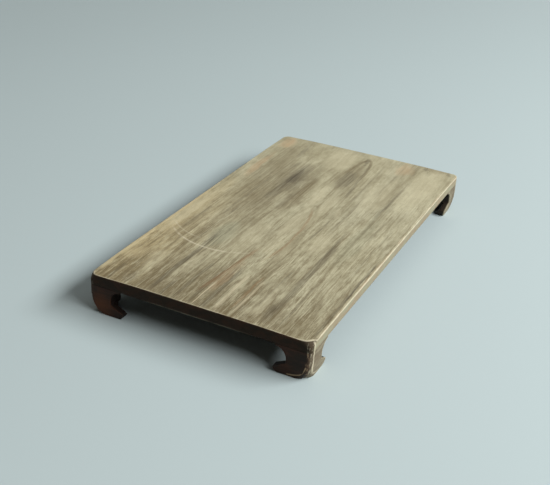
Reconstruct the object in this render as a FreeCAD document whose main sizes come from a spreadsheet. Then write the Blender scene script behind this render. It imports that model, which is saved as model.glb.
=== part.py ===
import FreeCAD, Part
import math
import os
import re

import Sketcher

# A low display stand: one plank on four hooked corner feet. Each foot is two
# brackets mitred at the corner, with a block behind the mitre. Two battens on
# the underside keep the plank flat.
# Millimetres. X runs along the plank, Y across it and Z up. The origin is on
# the floor under the middle of the plank. Front is -Y and left is -X.

SIZES = {
    # Plank
    "plank_length": 550.0,
    "plank_width": 300.0,
    "plank_thickness": 15.0,
    "corner_radius": 7.0,
    "top_arris": 2.0,
    # Foot brackets, measured from the stand's square corner
    "foot_height": 40.0,
    "bracket_thickness": 16.5,
    "leg_width": 32.0,
    "leg_straight": 4.0,
    "arch_radius": 14.0,
    "arch_lip": 2.0,
    "toe_reach": 47.5,
    "toe_drop": 9.5,
    "toe_curl": 5.0,
    "nose_radius": 9.0,
    "belly_height": 24.0,
    "belly_inset": 3.0,
    "heel_height": 26.0,
    "heel_reach": 16.0,
    "heel_radius": 34.0,
    # Stub tenons on the brackets
    "tenon_start": 22.0,
    "tenon_length": 18.0,
    "tenon_thickness": 5.0,
    "tenon_height": 8.0,
    # Corner blocks
    "block_leg": 15.0,
    "block_height": 26.0,
    "block_peg_offset": 4.6,
    # Battens
    "batten_spacing": 290.0,
    "batten_stop": 25.0,
    "rail_width": 26.0,
    "rail_depth": 12.0,
    "tongue_mouth": 18.0,
    "tongue_crown": 22.0,
    "tongue_depth": 6.0,
    "tongue_recess": 1.0,
    # Pegs
    "peg_diameter": 4.5,
    "peg_cover": 4.5,
    # Clearances
    "fit_gap": 0.1,
    "end_gap": 0.5,
}

# Heights, half sizes and places that several pieces share
HALF_LENGTH = "plank_length / 2"
HALF_WIDTH = "plank_width / 2"
STAND_HEIGHT = "(foot_height + plank_thickness)"
HOLE_TOP = f"({STAND_HEIGHT} - peg_cover)"
HOLE_RADIUS = "peg_diameter / 2 + fit_gap"
TENON_SETBACK = "(bracket_thickness - tenon_thickness) / 2"
BLOCK_PEG = "(bracket_thickness + block_peg_offset)"

# Each foot: its name, the sides of X and Y it stands on, and its turn about Z
FEET = [
    ("front_left", -1, -1, 0),
    ("front_right", 1, -1, 90),
    ("back_right", 1, 1, 180),
    ("back_left", -1, 1, 270),
]

BATTENS = [("left", -1), ("right", 1)]

doc = FreeCAD.newDocument("display_stand")
sheet = doc.addObject("Spreadsheet::Sheet", "Sizes")
for row, (size_name, size_value) in enumerate(SIZES.items(), start=1):
    sheet.set(f"A{row}", size_name)
    sheet.set(f"B{row}", str(size_value))
    sheet.setAlias(f"B{row}", size_name)
doc.recompute()


def formula(words):
    """Point each size name in a formula at its cell of the sheet."""
    def cell(match):
        name = match.group()
        return f"Sizes.{name}" if name in SIZES else name
    return re.sub(r"[a-z_]+", cell, words)


def value(words):
    """Work out a formula of size names as a number."""
    return float(sheet.evalExpression(formula(words)))


def constrain(sketch, kind, elements, words):
    """Add a dimension to a sketch and bind it to a formula."""
    number = sketch.addConstraint(Sketcher.Constraint(kind, *elements, value(words)))
    sketch.setExpression(f"Constraints[{number}]", formula(words))


def pin_point(sketch, edge, end, x, y):
    """Hold one end or the centre of an edge at a spot given by two formulas."""
    for kind, axis, words in (("DistanceX", -2, x), ("DistanceY", -1, y)):
        if words == "0":
            sketch.addConstraint(Sketcher.Constraint("PointOnObject", edge, end, axis))
        else:
            constrain(sketch, kind, (-1, 1, edge, end), words)


def arc_between(start, end, radius, turn):
    """Make the short arc from start to end. It bends to the left for a turn of 1."""
    chord = end - start
    left = FreeCAD.Vector(-chord.y, chord.x, 0).normalize()
    rise = math.sqrt(radius ** 2 - (chord.Length / 2) ** 2)
    centre = (start + end) / 2 + left * (turn * rise)
    angles = [math.atan2(spot.y - centre.y, spot.x - centre.x) for spot in (start, end)]
    return Part.ArcOfCircle(Part.Circle(centre, FreeCAD.Vector(0, 0, 1), radius), *angles[::turn])


def draw(sketch, corners):
    """Draw a closed outline. A corner is (x, y), or (x, y, radius, turn) where an arc ends."""
    spots = [FreeCAD.Vector(value(corner[0]), value(corner[1]), 0) for corner in corners]
    edges = []
    for number, corner in enumerate(corners):
        start = spots[number - 1]
        end = spots[number]
        if len(corner) == 2:
            line = sketch.addGeometry(Part.LineSegment(start, end))
            edges.append((line, 1, 2))
        else:
            radius, turn = corner[2:]
            arc = sketch.addGeometry(arc_between(start, end, value(radius), turn))
            constrain(sketch, "Radius", (arc,), radius)
            edges.append((arc, 1, 2) if turn > 0 else (arc, 2, 1))
    for number, corner in enumerate(corners):
        edge, _, edge_end = edges[number]
        following, following_start, _ = edges[(number + 1) % len(edges)]
        ends = (edge, edge_end, following, following_start)
        sketch.addConstraint(Sketcher.Constraint("Coincident", *ends))
        pin_point(sketch, edge, edge_end, corner[0], corner[1])


def draw_circle(sketch, x, y, radius):
    """Draw a circle about a spot given by two formulas."""
    centre = FreeCAD.Vector(value(x), value(y), 0)
    circle = sketch.addGeometry(Part.Circle(centre, FreeCAD.Vector(0, 0, 1), value(radius)))
    constrain(sketch, "Radius", (circle,), radius)
    pin_point(sketch, circle, 3, x, y)


def rectangle(low_x, high_x, low_y, high_y):
    """List the corners of an upright rectangle."""
    return [(low_x, low_y), (high_x, low_y), (high_x, high_y), (low_x, high_y)]


def move(thing, placement, x, y, z):
    """Bind a placement's position to three formulas."""
    for letter, words in (("x", x), ("y", y), ("z", z)):
        thing.setExpression(f"{placement}.Base.{letter}", formula(words))


def new_body(label, turn=0, x="0", y="0", z="0"):
    """Start a piece, turned about Z and set in its place."""
    body = doc.addObject("PartDesign::Body", label)
    body.Label = label
    upright = FreeCAD.Rotation(FreeCAD.Vector(0, 0, 1), turn)
    body.Placement = FreeCAD.Placement(FreeCAD.Vector(), upright)
    move(body, "Placement", x, y, z)
    return body


def new_sketch(body, role, x="0", y="0", z="0", swing=0):
    """Start a sketch on one of the piece's own planes, shifted and swung in that plane's directions."""
    plane = next(feature for feature in body.Origin.OriginFeatures if feature.Role == role)
    sketch = body.newObject("Sketcher::SketchObject", f"{body.Label}_sketch")
    sketch.AttachmentSupport = [(plane, "")]
    sketch.MapMode = "FlatFace"
    upright = FreeCAD.Rotation(FreeCAD.Vector(0, 1, 0), swing)
    sketch.AttachmentOffset = FreeCAD.Placement(FreeCAD.Vector(), upright)
    move(sketch, "AttachmentOffset", x, y, z)
    return sketch


def pad(body, sketch, length, backwards=False):
    """Raise a sketch to a solid."""
    feature = body.newObject("PartDesign::Pad", f"{body.Label}_pad")
    feature.Profile = sketch
    feature.Reversed = backwards
    feature.setExpression("Length", formula(length))
    doc.recompute()


def finish_cut(body, feature, before):
    """Build a cut, and fail if it took nothing away."""
    doc.recompute()
    if not body.Shape.Volume < before:
        raise RuntimeError(f"{feature.Label} cuts nothing")


def pocket(body, sketch, depth=None, backwards=False):
    """Cut a sketch into the piece, right through where no depth is given."""
    before = body.Shape.Volume
    feature = body.newObject("PartDesign::Pocket", f"{body.Label}_pocket")
    feature.Profile = sketch
    feature.Reversed = backwards
    if depth:
        feature.setExpression("Length", formula(depth))
    else:
        feature.Type = "ThroughAll"
    finish_cut(body, feature, before)


def quarter_groove(body, sketch, backwards):
    """Cut away what a sketch sweeps in a quarter turn about its own upright axis."""
    before = body.Shape.Volume
    feature = body.newObject("PartDesign::Groove", f"{body.Label}_groove")
    feature.Profile = sketch
    feature.ReferenceAxis = (sketch, ["V_Axis"])
    feature.Angle = 90
    feature.Reversed = backwards
    finish_cut(body, feature, before)


def round_top_arris(body):
    """Round the arris all along the top face's outline."""
    top = body.Shape.BoundBox.ZMax
    base = body.Tip
    outline = []
    for number, edge in enumerate(body.Shape.Edges, start=1):
        if math.isclose(edge.BoundBox.ZMin, top, abs_tol=1e-4):
            outline.append(f"Edge{number}")
    feature = body.newObject("PartDesign::Fillet", f"{body.Label}_arris")
    feature.Base = (base, outline)
    feature.setExpression("Radius", formula("top_arris"))
    doc.recompute()


def draw_mortise(sketch, side_x, side_y, lengthwise):
    """Draw the mortise that takes one bracket's tenon."""
    along = ("tenon_start - fit_gap", "tenon_start + tenon_length + fit_gap")
    across = (f"{TENON_SETBACK} - fit_gap", f"{TENON_SETBACK} + tenon_thickness + fit_gap")
    from_end, from_side = (along, across) if lengthwise else (across, along)
    x = [f"{side_x} * ({HALF_LENGTH} - ({words}))" for words in from_end]
    y = [f"{side_y} * ({HALF_WIDTH} - ({words}))" for words in from_side]
    draw(sketch, rectangle(*x, *y))


def top_board():
    """The plank, with mortises, dovetail grooves and peg holes in its underside."""
    body = new_body("top_board")
    end_run = f"({HALF_WIDTH} - corner_radius)"
    side_run = f"({HALF_LENGTH} - corner_radius)"
    plan = new_sketch(body, "XY_Plane", z="foot_height")
    draw(plan, [
        (f"-{side_run}", f"-{HALF_WIDTH}", "corner_radius", 1),
        (side_run, f"-{HALF_WIDTH}"),
        (HALF_LENGTH, f"-{end_run}", "corner_radius", 1),
        (HALF_LENGTH, end_run),
        (side_run, HALF_WIDTH, "corner_radius", 1),
        (f"-{side_run}", HALF_WIDTH),
        (f"-{HALF_LENGTH}", end_run, "corner_radius", 1),
        (f"-{HALF_LENGTH}", f"-{end_run}"),
    ])
    pad(body, plan, "plank_thickness")
    round_top_arris(body)

    mortises = new_sketch(body, "XY_Plane", z="foot_height")
    for _, side_x, side_y, _ in FEET:
        draw_mortise(mortises, side_x, side_y, lengthwise=True)
        draw_mortise(mortises, side_x, side_y, lengthwise=False)
    pocket(body, mortises, "tenon_height + end_gap", backwards=True)

    # The grooves stop short of the front edge and are open at the back
    grooves = new_sketch(body, "XZ_Plane", z=f"{HALF_WIDTH} - batten_stop")
    for _, side in BATTENS:
        middle = f"{side} * batten_spacing / 2"
        draw(grooves, [
            (f"{middle} - tongue_mouth / 2", "foot_height"),
            (f"{middle} + tongue_mouth / 2", "foot_height"),
            (f"{middle} + tongue_crown / 2", "foot_height + tongue_depth"),
            (f"{middle} - tongue_crown / 2", "foot_height + tongue_depth"),
        ])
    pocket(body, grooves)

    holes = new_sketch(body, "XY_Plane", z="foot_height")
    for _, side_x, side_y, _ in FEET:
        x = f"{side_x} * ({HALF_LENGTH} - {BLOCK_PEG})"
        y = f"{side_y} * ({HALF_WIDTH} - {BLOCK_PEG})"
        draw_circle(holes, x, y, HOLE_RADIUS)
    for _, side in BATTENS:
        draw_circle(holes, f"{side} * batten_spacing / 2", "0", HOLE_RADIUS)
    pocket(body, holes, f"{HOLE_TOP} - foot_height", backwards=True)
    return body


def cut_mitre(body, hand):
    """Mitre a bracket at its corner end and round it to the plank's corner."""
    arc_middle = "corner_radius * (1 - sqrt(0.5))"
    outside = f"{-hand} * bracket_thickness"
    inside = f"{hand} * 2 * bracket_thickness"
    waste = new_sketch(body, "XY_Plane")
    draw(waste, [
        ("corner_radius", "0"),
        (arc_middle, f"{hand} * {arc_middle}", "corner_radius", -hand),
        ("2 * bracket_thickness", inside),
        ("-bracket_thickness", inside),
        ("-bracket_thickness", outside),
        ("corner_radius", outside),
    ])
    pocket(body, waste, backwards=True)


def draw_belly(sketch, hand, centre):
    """Draw the waste outside a bracket's belly, measured across it from a centre line."""
    radius = "(belly_height ^ 2 + belly_inset ^ 2) / (2 * belly_inset)"
    face = f"{-hand} * {centre}"
    outside = f"{-hand} * ({centre} + bracket_thickness)"
    draw(sketch, [
        (face, "belly_height", radius, -hand),
        (outside, "belly_height"),
        (outside, "0"),
        (f"{-hand} * ({centre} - belly_inset)", "0"),
    ])


def cut_belly(body, hand):
    """Draw a bracket's face in towards the floor, along its straight and round its corner."""
    across = f"{hand} * corner_radius"
    straight = new_sketch(body, "YZ_Plane", x=across)
    draw_belly(straight, hand, "corner_radius")
    pocket(body, straight, backwards=True)
    corner = new_sketch(body, "YZ_Plane", x=across, z="corner_radius")
    draw_belly(corner, hand, "corner_radius")
    quarter_groove(body, corner, backwards=hand > 0)


def cut_heel(body, hand):
    """Round the foot's corner under, with a cut square to the mitre."""
    corner = "corner_radius * (sqrt(2) - 1)"
    waste = new_sketch(body, "XZ_Plane", swing=45 * hand)
    draw(waste, [
        (corner, "heel_height", "heel_radius", -1),
        ("-bracket_thickness", "heel_height"),
        ("-bracket_thickness", "0"),
        ("heel_reach", "0"),
    ])
    pocket(body, waste, backwards=hand > 0)


def foot_bracket(label, hand, turn, x, y):
    """One bracket, along X from the corner, with its thickness on the side of Y that hand gives."""
    body = new_body(label, turn, x, y)
    leg_top = "(foot_height - arch_lip - arch_radius)"
    toe_top = f"({leg_top} - leg_straight)"
    arch_end = "leg_width + arch_radius"
    face = new_sketch(body, "XZ_Plane")
    draw(face, [
        ("0", "0"),
        ("toe_reach - toe_curl", "0"),
        ("toe_reach", f"{toe_top} - toe_drop", "nose_radius", 1),
        ("leg_width", toe_top),
        ("leg_width", leg_top),
        (arch_end, "foot_height - arch_lip", "arch_radius", -1),
        (arch_end, "foot_height"),
        ("0", "foot_height"),
    ])
    pad(body, face, "bracket_thickness", backwards=hand > 0)
    cut_mitre(body, hand)
    cut_belly(body, hand)
    cut_heel(body, hand)

    tenon = new_sketch(body, "XY_Plane", z="foot_height")
    low = f"{hand} * {TENON_SETBACK}"
    high = f"{hand} * ({TENON_SETBACK} + tenon_thickness)"
    draw(tenon, rectangle("tenon_start", "tenon_start + tenon_length", low, high))
    pad(body, tenon, "tenon_height")
    return body


def corner_block(label, turn, x, y):
    """The three-cornered block in the inner angle of a foot, bored for its peg."""
    body = new_body(label, turn, x, y)
    inner = "bracket_thickness"
    tip = "bracket_thickness + block_leg"
    plan = new_sketch(body, "XY_Plane", z="foot_height - block_height")
    draw(plan, [(inner, inner), (tip, inner), (inner, tip)])
    draw_circle(plan, BLOCK_PEG, BLOCK_PEG, HOLE_RADIUS)
    pad(body, plan, "block_height")
    return body


def batten(label, side):
    """A cross batten: a rail under the plank with a dovetail tongue in the plank's groove."""
    start = f"-({HALF_WIDTH} - batten_stop - end_gap)"
    body = new_body(label, x=f"{side} * batten_spacing / 2", y=start)
    rail = "rail_width / 2"
    mouth = "(tongue_mouth / 2 - fit_gap)"
    crown = "(tongue_crown / 2 - fit_gap)"
    bottom = "foot_height - rail_depth"
    tongue_top = "foot_height + tongue_depth - fit_gap"
    section = new_sketch(body, "XZ_Plane")
    draw(section, [
        (f"-{rail}", bottom),
        (rail, bottom),
        (rail, "foot_height"),
        (mouth, "foot_height"),
        (crown, tongue_top),
        (f"-{crown}", tongue_top),
        (f"-{mouth}", "foot_height"),
        (f"-{rail}", "foot_height"),
    ])
    length = "(plank_width - batten_stop - end_gap - tongue_recess)"
    pad(body, section, length, backwards=True)

    # The rail stops as far from the back edge as from the front, and the tongue goes on
    rail_end = "(plank_width - 2 * batten_stop - end_gap)"
    overlong = new_sketch(body, "YZ_Plane", z=f"-{rail}")
    draw(overlong, rectangle(rail_end, length, bottom, "foot_height"))
    pocket(body, overlong, backwards=True)

    hole = new_sketch(body, "XY_Plane", z=bottom)
    draw_circle(hole, "0", f"{HALF_WIDTH} - batten_stop - end_gap", HOLE_RADIUS)
    pocket(body, hole, backwards=True)
    return body


def peg(x, y, bottom):
    """One round peg, from a height up to just short of the end of its hole."""
    cylinder = doc.addObject("Part::Cylinder", "peg")
    cylinder.setExpression("Radius", formula("peg_diameter / 2"))
    cylinder.setExpression("Height", formula(f"{HOLE_TOP} - end_gap - ({bottom})"))
    move(cylinder, "Placement", x, y, bottom)
    return cylinder


def peg_group(label, pegs):
    """Like pegs, kept together as separate solids."""
    group = doc.addObject("Part::Compound", label)
    group.Label = label
    group.Links = pegs
    return group


def check(pieces):
    """Fail if any object did not build or any piece is not sound."""
    for thing in doc.Objects:
        if "Invalid" in thing.State or "Error" in thing.State:
            raise RuntimeError(f"{thing.Label} did not build")
    for piece in pieces:
        if piece.Shape.isNull() or not piece.Shape.isValid():
            raise RuntimeError(f"{piece.Label} is not sound")


pieces = [top_board()]
foot_pegs = []
for foot_name, side_x, side_y, turn in FEET:
    corner_x = f"{side_x} * {HALF_LENGTH}"
    corner_y = f"{side_y} * {HALF_WIDTH}"
    # A quarter turn brings the second bracket of a foot round from a side to an end
    along, around = ("side", "end") if turn % 180 == 0 else ("end", "side")
    pieces.append(foot_bracket(f"{foot_name}_{along}_bracket", 1, turn, corner_x, corner_y))
    pieces.append(foot_bracket(f"{foot_name}_{around}_bracket", -1, turn + 90, corner_x, corner_y))
    pieces.append(corner_block(f"{foot_name}_corner_block", turn, corner_x, corner_y))
    peg_x = f"{side_x} * ({HALF_LENGTH} - {BLOCK_PEG})"
    peg_y = f"{side_y} * ({HALF_WIDTH} - {BLOCK_PEG})"
    foot_pegs.append(peg(peg_x, peg_y, "foot_height - block_height"))
pieces.append(peg_group("foot_pegs", foot_pegs))

batten_pegs = []
for batten_name, side in BATTENS:
    pieces.append(batten(f"{batten_name}_batten", side))
    batten_pegs.append(peg(f"{side} * batten_spacing / 2", "0", "foot_height - rail_depth"))
pieces.append(peg_group("batten_pegs", batten_pegs))

doc.recompute()
check(pieces)
os.makedirs("parts", exist_ok=True)
for piece in pieces:
    piece.Shape.exportStep(f"parts/{piece.Label}.step")
    print(piece.Label, len(piece.Shape.Solids), "solids", round(piece.Shape.Volume), "mm3")
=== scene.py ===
# %% [markdown]
# A low display stand: one old plank on four hooked feet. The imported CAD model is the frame. It gives every piece
# its place, so this lesson only adds what the eye wants: worn arrises, wood grain, stains, light and a camera.

# %% Load the frame
import math

import bmesh
import bpy
from mathutils import Matrix, Quaternion, Vector, noise


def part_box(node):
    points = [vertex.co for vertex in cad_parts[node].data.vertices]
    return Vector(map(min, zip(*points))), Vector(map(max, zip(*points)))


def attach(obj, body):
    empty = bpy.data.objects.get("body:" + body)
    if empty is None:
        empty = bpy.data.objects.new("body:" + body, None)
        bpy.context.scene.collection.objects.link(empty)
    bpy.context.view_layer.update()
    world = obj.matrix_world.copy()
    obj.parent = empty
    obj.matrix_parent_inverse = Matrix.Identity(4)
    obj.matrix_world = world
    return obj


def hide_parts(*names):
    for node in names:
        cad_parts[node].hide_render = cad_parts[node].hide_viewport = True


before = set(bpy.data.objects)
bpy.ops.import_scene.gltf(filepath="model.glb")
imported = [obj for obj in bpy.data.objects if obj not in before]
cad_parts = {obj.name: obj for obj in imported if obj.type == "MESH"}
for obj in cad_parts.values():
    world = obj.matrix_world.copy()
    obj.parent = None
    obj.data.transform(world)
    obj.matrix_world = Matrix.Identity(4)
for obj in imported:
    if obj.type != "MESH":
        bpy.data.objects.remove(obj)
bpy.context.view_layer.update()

MM = 0.001
plank_low, plank_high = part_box("top_board")
HALF_LENGTH = plank_high.x / MM
HALF_WIDTH = plank_high.y / MM
TOP = plank_high.z / MM
FOOT_HEIGHT = plank_low.z / MM
print("plank", 2 * HALF_LENGTH, "x", 2 * HALF_WIDTH, "mm, from", FOOT_HEIGHT, "to", TOP, "mm above the floor")

# %% [markdown]
# The camera stands in front of the left end, a little above the stand, and looks down at it. Its place was solved
# from the four edges of the top, so the edges of the model fall where the picture has them. A camera is easiest to
# aim with a track quaternion, and the small roll of the hand that held it is one more turn about its own axis.

# %% Camera
CAMERA_EYE = Vector((-1.0819, -0.4722, 0.6336))
CAMERA_AIM = Vector((-0.0832, -0.0082, 0.055))
CAMERA_ROLL = math.radians(3.4)
CAMERA_LENS = 61.94
CAMERA_SENSOR = 36.0


def put_in_scene(name, data):
    """Make an object of a camera, a light or a mesh, and add it to the scene."""
    thing = bpy.data.objects.new(name, data)
    bpy.context.scene.collection.objects.link(thing)
    return thing


def aim(thing, eye, target, roll=0.0):
    """Stand a camera or a light at a place and turn it to look at another."""
    thing.location = eye
    thing.rotation_mode = "QUATERNION"
    thing.rotation_quaternion = (target - eye).to_track_quat("-Z", "Y") @ Quaternion((0, 0, 1), roll)


camera_data = bpy.data.cameras.new("camera")
camera_data.lens = CAMERA_LENS
camera_data.sensor_width = CAMERA_SENSOR
camera = put_in_scene("camera", camera_data)
aim(camera, CAMERA_EYE, CAMERA_AIM, CAMERA_ROLL)
bpy.context.scene.camera = camera
print("camera", round((CAMERA_AIM - CAMERA_EYE).length, 3), "m from what it looks at")

# %% [markdown]
# Colours are written below from 0 to 255, as a paint program shows them. A shader works with linear light instead, so
# one helper turns the first into the second.


# %% Colours as written
def srgb(red, green, blue):
    """Turn a colour written as 0 to 255 into the linear values that a shader takes."""
    linear = []
    for channel in (red, green, blue):
        share = channel / 255
        linear.append(share / 12.92 if share <= 0.04045 else ((share + 0.055) / 1.055) ** 2.4)
    return (*linear, 1.0)


print("a middle grey is", round(srgb(128, 128, 128)[0], 3), "in linear light")

# %% [markdown]
# The light is soft and comes mostly from one side: a broad panel on the right of the stand, as a large window gives it,
# a wider one overhead, and a faint even glow that keeps the shade from going black. Together they light the floor at
# about 1, so that a colour comes out as it is written. The floor is one plain pale sheet.

# %% Floor
FLOOR_COLOUR = srgb(186, 201, 202)
FLOOR_ROUGHNESS = 0.85
FLOOR_HALF = 9.0


def to_object(bm, name):
    """Turn a finished bmesh into an object."""
    mesh = bpy.data.meshes.new(name)
    bm.to_mesh(mesh)
    bm.free()
    return put_in_scene(name, mesh)


floor_bm = bmesh.new()
bmesh.ops.create_grid(floor_bm, x_segments=1, y_segments=1, size=FLOOR_HALF)
floor = to_object(floor_bm, "floor")
print("floor", 2 * FLOOR_HALF, "m across")

# %% Light
# Each panel: its name, place in metres, width and height in metres, and power in watts
PANELS = [
    ("window_panel", (0.28, -3.40, 2.85), 4.9, 1.4, 290.0),
    ("ceiling_panel", (0.60, -0.20, 2.60), 3.6, 3.6, 16.0),
]

for panel_name, panel_place, panel_width, panel_height, panel_power in PANELS:
    panel_data = bpy.data.lights.new(panel_name, "AREA")
    panel_data.shape = "RECTANGLE"
    panel_data.size = panel_width
    panel_data.size_y = panel_height
    panel_data.energy = panel_power
    aim(put_in_scene(panel_name, panel_data), Vector(panel_place), Vector((0, 0, 0)))

bpy.context.scene.view_settings.view_transform = "Standard"
print(len(PANELS), "panels")

# %% [markdown]
# Every finish below is built from nodes in code, in one node tree at a time, as the node editor shows it. Small helpers
# keep that readable. The first few open a tree, add a node and join its inputs. The next do arithmetic, ease a value
# from 0 to 1 between two limits, mix colours and read noise. The last start a node group or a material.


# %% Node helpers
def open_tree(tree):
    """Build in this node tree from here on."""
    global tree_now
    tree_now = tree


def wire(source, socket):
    """Join an output to an input."""
    tree_now.links.new(source, socket)


def add(kind, inputs=None, **settings):
    """Add a node. An input takes a number, a colour, or another node's output."""
    node = tree_now.nodes.new(kind)
    for name, setting in settings.items():
        setattr(node, name, setting)
    for key, source in (inputs or {}).items():
        if isinstance(source, bpy.types.NodeSocket):
            wire(source, node.inputs[key])
        else:
            node.inputs[key].default_value = source
    return node


def split(vector):
    """Take a place or a direction apart into X, Y and Z."""
    return add("ShaderNodeSeparateXYZ", {0: vector}).outputs


def attribute(name):
    """Read a value that the mesh carries at its vertices."""
    return add("ShaderNodeAttribute", attribute_name=name).outputs["Fac"]


print("nodes can be added and joined")


# %% Arithmetic with nodes
def maths(operation, *values, clamp=False):
    """Work out one sum of numbers and sockets."""
    node = add("ShaderNodeMath", dict(enumerate(values)), operation=operation, use_clamp=clamp)
    return node.outputs[0]


def times(first, second):
    """Multiply two values."""
    return maths("MULTIPLY", first, second)


def plus(first, second):
    """Add two values."""
    return maths("ADD", first, second)


def minus(first, second):
    """Take the second value from the first."""
    return maths("SUBTRACT", first, second)


def divide(first, second):
    """Divide the first value by the second."""
    return maths("DIVIDE", first, second)


def scaled(value, factor, start):
    """Multiply a value by a factor and add it to a start."""
    return maths("MULTIPLY_ADD", value, factor, start)


def ease(value, start, end):
    """Go smoothly from 0 at start to 1 at end. The start may be the larger."""
    limits = {"Value": value, "From Min": start, "From Max": end}
    return add("ShaderNodeMapRange", limits, interpolation_type="SMOOTHSTEP").outputs["Result"]


print("values can be worked out")


# %% Colours, noise, groups and materials
def mix(share, first, second):
    """Mix two colours."""
    inputs = {0: share, 6: first, 7: second}
    return add("ShaderNodeMix", inputs, data_type="RGBA", clamp_factor=True).outputs[2]


def glaze(colour, mask, strength, tint):
    """Lay a tint over a colour by a mask and a strength."""
    return mix(times(mask, strength), colour, tint)


def clouds(where, repeats, detail=3.0, roughness=0.5, distortion=0.0):
    """Read soft noise, about 0.3 to 0.7, that repeats so many times in a metre along X, Y and Z."""
    near = add("ShaderNodeVectorMath", {0: where, 1: repeats}, operation="MULTIPLY").outputs[0]
    settings = {"Vector": near, "Scale": 1.0, "Detail": detail, "Roughness": roughness, "Distortion": distortion}
    return add("ShaderNodeTexNoise", settings).outputs["Fac"]


def new_group(name, values, outputs):
    """Start a node group that takes a place and some values with their defaults, and gives values."""
    group = bpy.data.node_groups.new(name, "ShaderNodeTree")
    group.interface.new_socket("Place", in_out="INPUT", socket_type="NodeSocketVector")
    for label, default in values.items():
        socket = group.interface.new_socket(label, in_out="INPUT", socket_type="NodeSocketFloat")
        socket.default_value = default
    for label in outputs:
        group.interface.new_socket(label, in_out="OUTPUT", socket_type="NodeSocketFloat")
    open_tree(group)
    return group, group.nodes.new("NodeGroupInput").outputs, group.nodes.new("NodeGroupOutput").inputs


def place(group, inputs):
    """Place a node group in a material and give its outputs."""
    return add("ShaderNodeGroup", inputs, node_tree=group).outputs


def start_material(name):
    """Start a material and give its shader and the place on the piece."""
    material = bpy.data.materials.new(name)
    material.use_nodes = True
    open_tree(material.node_tree)
    where = add("ShaderNodeTexCoord").outputs["Object"]
    return material, material.node_tree.nodes["Principled BSDF"], where


print("node helpers ready")

# %% [markdown]
# The two panels leave the far floor in the dark, and past its edge there is nothing at all. So what the camera sees far
# off is painted pale: the floor's own finish fades into a plain glow a few steps from the stand, and the world shows
# the same tone. Light Path keeps that to what is seen, so neither lights the stand, and the near floor keeps its
# shadow.

# %% Pale surroundings
HAZE_COLOUR = srgb(206, 216, 217)
HAZE_START = 1.1
HAZE_END = 4.5
GLOW_COLOUR = srgb(255, 238, 220)
GLOW_STRENGTH = 0.062


def seen_directly():
    """Is 1 for what the camera, a reflection or a clear surface shows, and 0 for light that falls on things."""
    path = add("ShaderNodeLightPath").outputs
    seen = maths("MAXIMUM", path["Is Camera Ray"], path["Is Glossy Ray"])
    return maths("MAXIMUM", seen, path["Is Transmission Ray"])


def paint_floor():
    """Build the floor's finish: plain paint near the stand, haze far off."""
    material, paint, where = start_material("floor_paint")
    paint.inputs["Base Color"].default_value = FLOOR_COLOUR
    paint.inputs["Roughness"].default_value = FLOOR_ROUGHNESS
    far = add("ShaderNodeVectorMath", {0: where}, operation="LENGTH").outputs["Value"]
    share = times(ease(far, HAZE_START, HAZE_END), seen_directly())
    haze = add("ShaderNodeEmission", {"Color": HAZE_COLOUR})
    both = add("ShaderNodeMixShader", {0: share, 1: paint.outputs[0], 2: haze.outputs[0]})
    wire(both.outputs[0], material.node_tree.nodes["Material Output"].inputs["Surface"])
    return material


def light_world():
    """Build the world: a faint glow that lights, and haze that is only seen."""
    world = bpy.data.worlds.new("glow")
    world.use_nodes = True
    open_tree(world.node_tree)
    glow = world.node_tree.nodes["Background"]
    glow.inputs["Color"].default_value = GLOW_COLOUR
    glow.inputs["Strength"].default_value = GLOW_STRENGTH
    haze = add("ShaderNodeBackground", {"Color": HAZE_COLOUR, "Strength": 1.0})
    both = add("ShaderNodeMixShader", {0: seen_directly(), 1: glow.outputs[0], 2: haze.outputs[0]})
    wire(both.outputs[0], world.node_tree.nodes["World Output"].inputs["Surface"])
    return world


floor.data.materials.append(paint_floor())
bpy.context.scene.world = light_world()
print("haze from", HAZE_START, "to", HAZE_END, "m, glow of", GLOW_STRENGTH)

# %% [markdown]
# Wood is a solid, so its figure is worked out in three dimensions. The rings of the tree are cylinders about a pith
# that runs under the plank at a slight slope. Where the plank's face cuts them they show as long lines at the sides
# and as a pointed arch in the middle. The fibres are noise stretched along the trunk, and the pores are the dark tips
# of a much finer noise. The group takes places in metres, with the wood running along X.

# %% Wood figure group
# Each layer of fibres: how often it repeats in a metre along X, Y and Z, and how rough its noise is
FIBRE_LAYERS = {
    "Band": ((2.5, 85.0, 85.0), 0.55),
    "Fibre": ((11.0, 330.0, 330.0), 0.6),
    "Fine fibre": ((24.0, 850.0, 850.0), 0.6),
}
PORE_REPEATS = (70.0, 1500.0, 1500.0)
# How far the rings sway to both sides, in metres
SWAY = 0.014


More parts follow.
